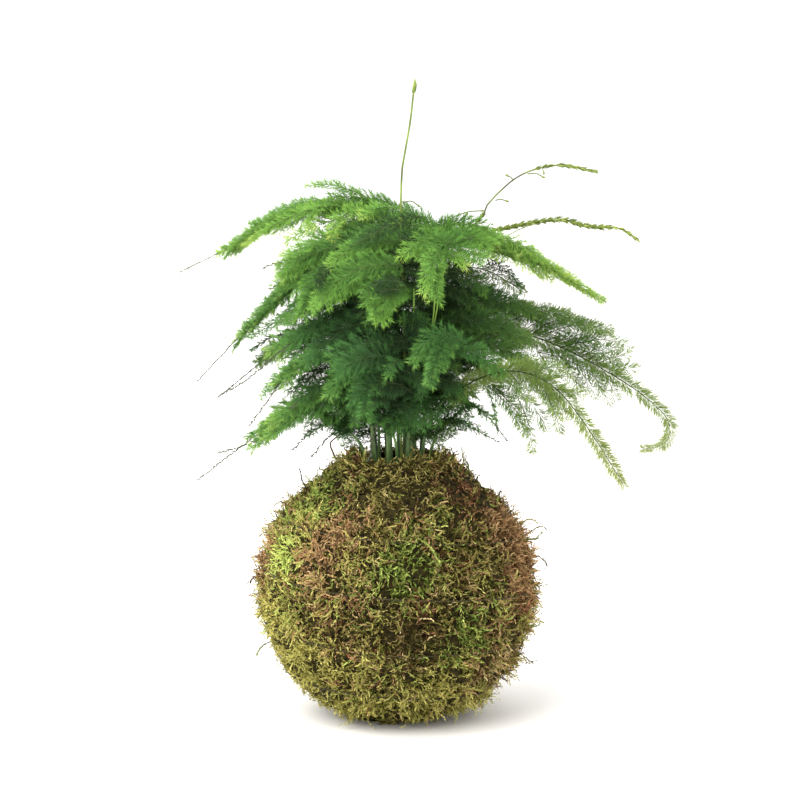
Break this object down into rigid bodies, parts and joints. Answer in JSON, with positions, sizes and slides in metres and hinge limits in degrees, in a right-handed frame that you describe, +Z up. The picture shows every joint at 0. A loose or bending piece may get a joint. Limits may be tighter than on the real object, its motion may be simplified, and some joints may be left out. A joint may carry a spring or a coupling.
{
  "type": "kokedama moss ball plant",
  "caption": "Moss-wrapped ball of soil with a feathery asparagus fern growing from its top, standing on a small flat spot.",
  "frame": {"origin": "centre of the small flat spot under the moss ball", "axes": "+Z up along the stems, -Y towards the side that shows the plant best, +X towards the longest spray"},
  "size_m": [0.2105, 0.155, 0.2721],
  "materials": {
    "moss": "matt living moss in olive, bright green and brown patches",
    "soil": "damp, matt, crumbly dark soil",
    "root": "matt pale brown root crown",
    "thread": "matt dark green cotton thread",
    "stem": "smooth green stem with a slight sheen",
    "frond": "soft needle-like leaf sprays with a slight sheen",
    "young_shoot": "smooth pale green young shoot",
    "twig": "matt dry brown twig"
  },
  "bodies": {
    "root": {"soil_core": "soil", "root_crown": "root", "moss_base": "moss", "moss_sheet_lower_1": "moss", "moss_sheet_lower_2": "moss", "moss_sheet_lower_3": "moss", "moss_sheet_lower_4": "moss", "moss_sheet_upper_1": "moss", "moss_sheet_upper_2": "moss", "moss_sheet_upper_3": "moss", "moss_sheet_upper_4": "moss", "moss_collar": "moss", "binding_thread": "thread", "stem_upper_left": "stem", "stem_upper_left_front": "stem", "stem_upper_front": "stem", "stem_upper_front_right": "stem", "stem_upper_right": "stem", "stem_upper_right_back": "stem", "stem_upper_back": "stem", "stem_upper_left_back": "stem", "stem_mid_left": "stem", "stem_mid_left_back": "stem", "stem_mid_left_front": "stem", "stem_mid_front": "stem", "stem_mid_front_right": "stem", "stem_mid_right": "stem", "stem_right_drooping": "stem", "stem_mid_right_back": "stem", "stem_mid_back": "stem", "stem_lower_left": "stem", "stem_lower_front": "stem", "stem_lower_right": "stem", "stem_lower_back": "stem", "frond_upper_left": "frond", "frond_upper_left_front": "frond", "frond_upper_front": "frond", "frond_upper_front_right": "frond", "frond_upper_right": "frond", "frond_upper_right_back": "frond", "frond_upper_back": "frond", "frond_upper_left_back": "frond", "frond_mid_left": "frond", "frond_mid_left_back": "frond", "frond_mid_left_front": "frond", "frond_mid_front": "frond", "frond_mid_front_right": "frond", "frond_mid_right": "frond", "frond_right_drooping": "frond", "frond_mid_right_back": "frond", "frond_mid_back": "frond", "frond_lower_left": "frond", "frond_lower_front": "frond", "frond_lower_right": "frond", "frond_lower_back": "frond", "tall_shoot": "young_shoot", "arching_shoot": "young_shoot", "low_shoot": "young_shoot", "bare_twig": "twig"}
  },
  "joints": []
}
